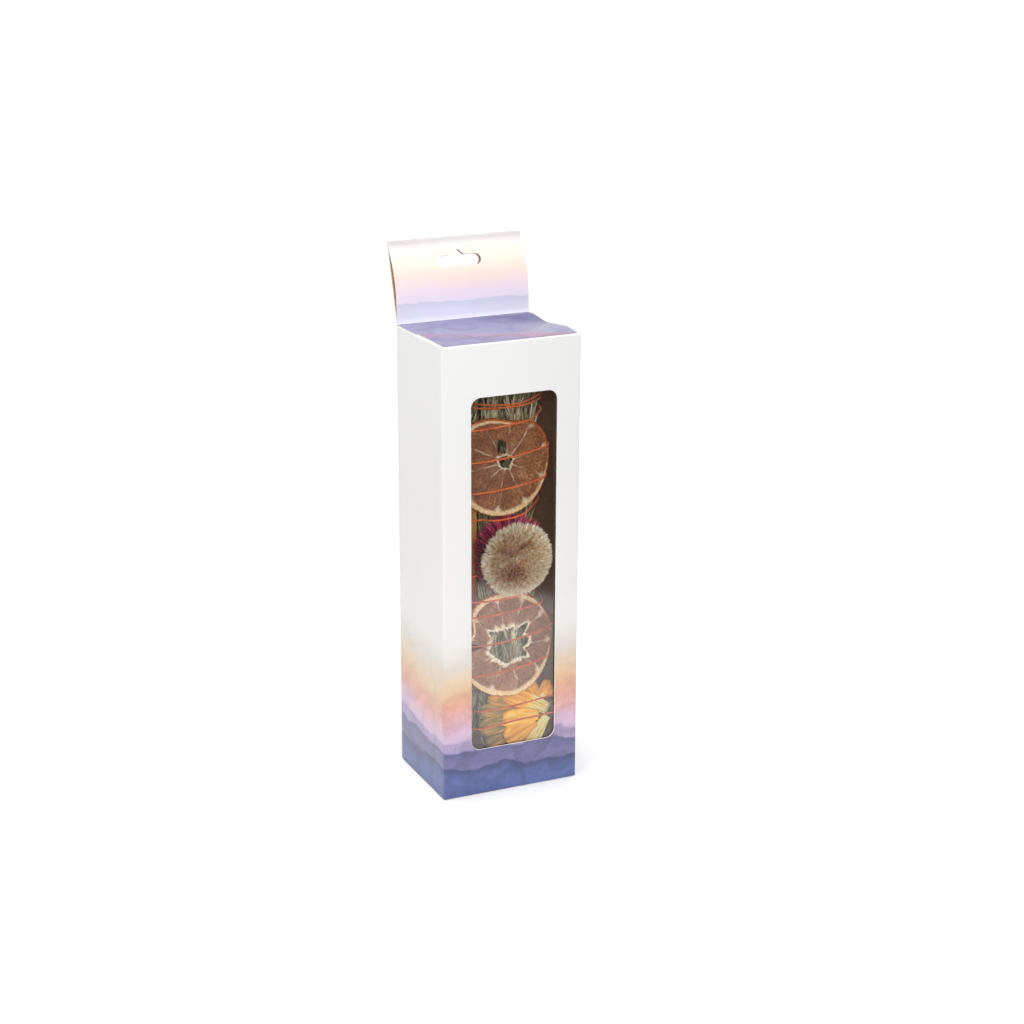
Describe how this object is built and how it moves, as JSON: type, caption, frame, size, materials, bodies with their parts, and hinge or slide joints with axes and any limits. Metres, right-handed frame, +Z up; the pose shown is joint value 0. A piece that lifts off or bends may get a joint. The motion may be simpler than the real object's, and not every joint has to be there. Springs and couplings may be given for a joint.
{
  "type": "boxed rosemary and palo santo smudge stick",
  "caption": "Rosemary smudge stick with palo santo, dried orange and flowers, thread-bound in a windowed hang-tab carton.",
  "frame": {"origin": "centre of the carton's bottom face", "axes": "+Z up along the carton's height, the window faces -Y, +X to the right when looking at the window"},
  "size_m": [0.0756, 0.0713, 0.2808],
  "materials": {
    "paperboard": "gloss-laminated paperboard with a printed colour wash",
    "clear_film": "clear window film",
    "rosemary": "dried needle leaves, matt",
    "palo_santo": "split raw wood",
    "dried_orange": "dried fruit, slightly glossy",
    "flower_disc": "dried florets, fluffy",
    "flower_bracts": "papery bracts",
    "marigold_petals": "dried petals, matt",
    "marigold_green": "dried calyx, matt",
    "thread": "cotton thread"
  },
  "bodies": {
    "carton": {"carton": "paperboard", "window_film": "clear_film", "rosemary_sprig_1": "rosemary", "rosemary_sprig_2": "rosemary", "rosemary_sprig_3": "rosemary", "rosemary_sprig_4": "rosemary", "rosemary_sprig_5": "rosemary", "rosemary_sprig_6": "rosemary", "rosemary_sprig_7": "rosemary", "rosemary_sprig_8": "rosemary", "palo_santo_stick": "palo_santo", "orange_slice_upper": "dried_orange", "orange_slice_lower": "dried_orange", "strawflower_disc": "flower_disc", "strawflower_bracts": "flower_bracts", "marigold_head": "marigold_petals", "marigold_calyx": "marigold_green", "binding_thread": "thread"},
    "lid": {"lid": "paperboard"}
  },
  "joints": [
    {"name": "lid_hinge", "type": "hinge", "parent": "carton", "child": "lid", "pos_m": [0, 0.0285, 0.2397], "axis": [-1, 0, 0], "range_deg": [0, 85]}
  ]
}
